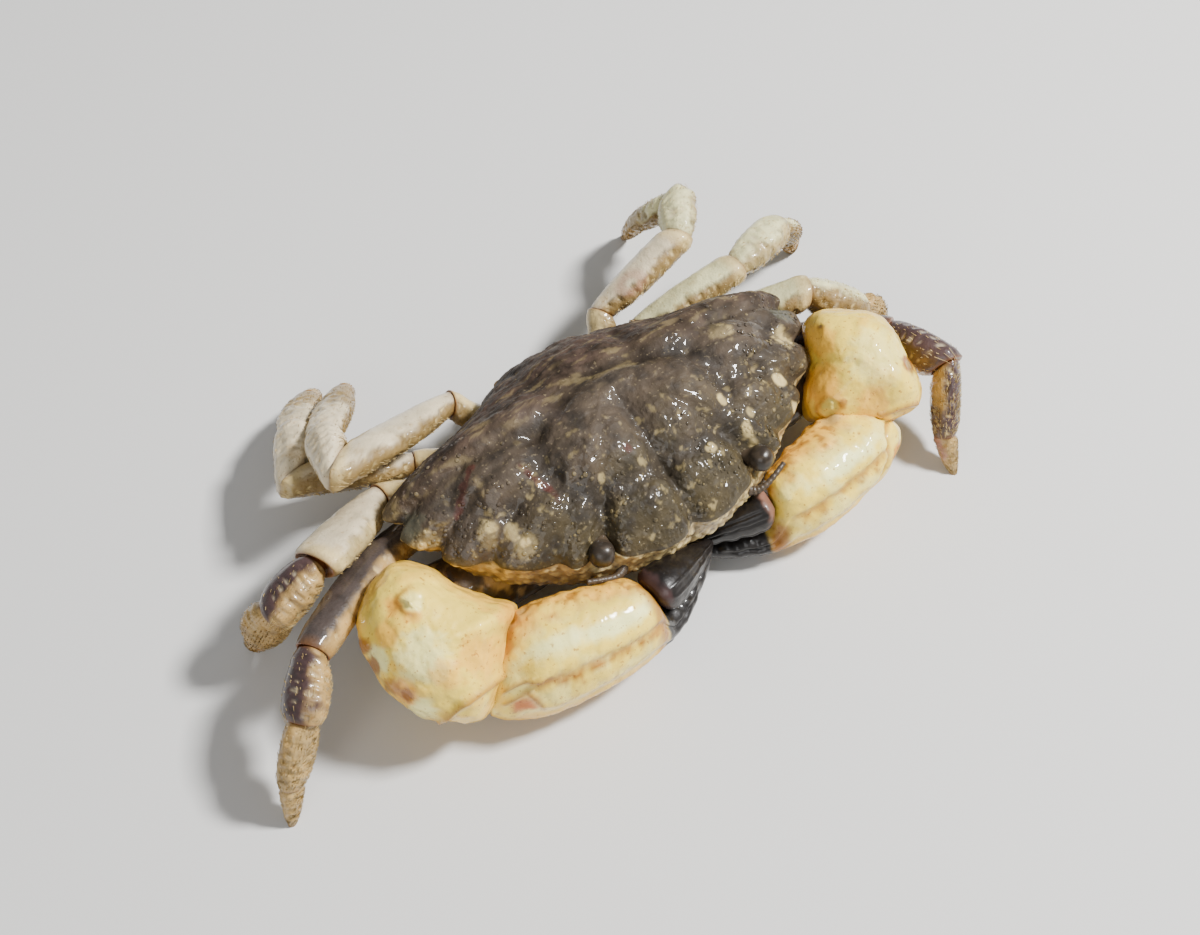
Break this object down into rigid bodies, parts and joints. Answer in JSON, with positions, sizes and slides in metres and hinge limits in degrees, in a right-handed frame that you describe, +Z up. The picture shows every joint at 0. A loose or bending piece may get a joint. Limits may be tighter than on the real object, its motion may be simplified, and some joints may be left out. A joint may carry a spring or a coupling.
{
  "type": "furrowed crab figure",
  "caption": "Life-size broad-shelled shore crab at rest, with a furrowed oval carapace, heavy dark-tipped claws and short stout walking legs.",
  "frame": {"origin": "middle of the footprint, on the floor", "axes": "+X towards the crab's left side, -Y towards its front, +Z up"},
  "size_m": [0.091, 0.0548, 0.0213],
  "materials": {
    "carapace_shell": "glossy, as if wet",
    "claw_shell": "glossy cream",
    "finger_horn": "polished near black",
    "eye": "polished black",
    "leg_shell": "satin",
    "under_shell": "satin"
  },
  "bodies": {
    "root": {"abdomen": "under_shell", "antenna_left": "under_shell", "antenna_right": "under_shell", "carapace": "carapace_shell", "claw_left_carpus": "claw_shell", "claw_left_coxa": "claw_shell", "claw_left_finger": "finger_horn", "claw_left_merus": "claw_shell", "claw_left_palm": "claw_shell", "claw_right_carpus": "claw_shell", "claw_right_coxa": "claw_shell", "claw_right_finger": "finger_horn", "claw_right_merus": "claw_shell", "claw_right_palm": "claw_shell", "eye_left": "eye", "eye_right": "eye", "leg1_left_carpus": "leg_shell", "leg1_left_coxa": "leg_shell", "leg1_left_dactyl": "leg_shell", "leg1_left_merus": "leg_shell", "leg1_left_propodus": "leg_shell", "leg1_right_carpus": "leg_shell", "leg1_right_coxa": "leg_shell", "leg1_right_dactyl": "leg_shell", "leg1_right_merus": "leg_shell", "leg1_right_propodus": "leg_shell", "leg2_left_carpus": "leg_shell", "leg2_left_coxa": "leg_shell", "leg2_left_dactyl": "leg_shell", "leg2_left_merus": "leg_shell", "leg2_left_propodus": "leg_shell", "leg2_right_carpus": "leg_shell", "leg2_right_coxa": "leg_shell", "leg2_right_dactyl": "leg_shell", "leg2_right_merus": "leg_shell", "leg2_right_propodus": "leg_shell", "leg3_left_carpus": "leg_shell", "leg3_left_coxa": "leg_shell", "leg3_left_dactyl": "leg_shell", "leg3_left_merus": "leg_shell", "leg3_left_propodus": "leg_shell", "leg3_right_carpus": "leg_shell", "leg3_right_coxa": "leg_shell", "leg3_right_dactyl": "leg_shell", "leg3_right_merus": "leg_shell", "leg3_right_propodus": "leg_shell", "leg4_left_carpus": "leg_shell", "leg4_left_coxa": "leg_shell", "leg4_left_dactyl": "leg_shell", "leg4_left_merus": "leg_shell", "leg4_left_propodus": "leg_shell", "leg4_right_carpus": "leg_shell", "leg4_right_coxa": "leg_shell", "leg4_right_dactyl": "leg_shell", "leg4_right_merus": "leg_shell", "leg4_right_propodus": "leg_shell", "maxilliped_left": "under_shell", "maxilliped_right": "under_shell", "thorax": "under_shell"}
  },
  "joints": []
}
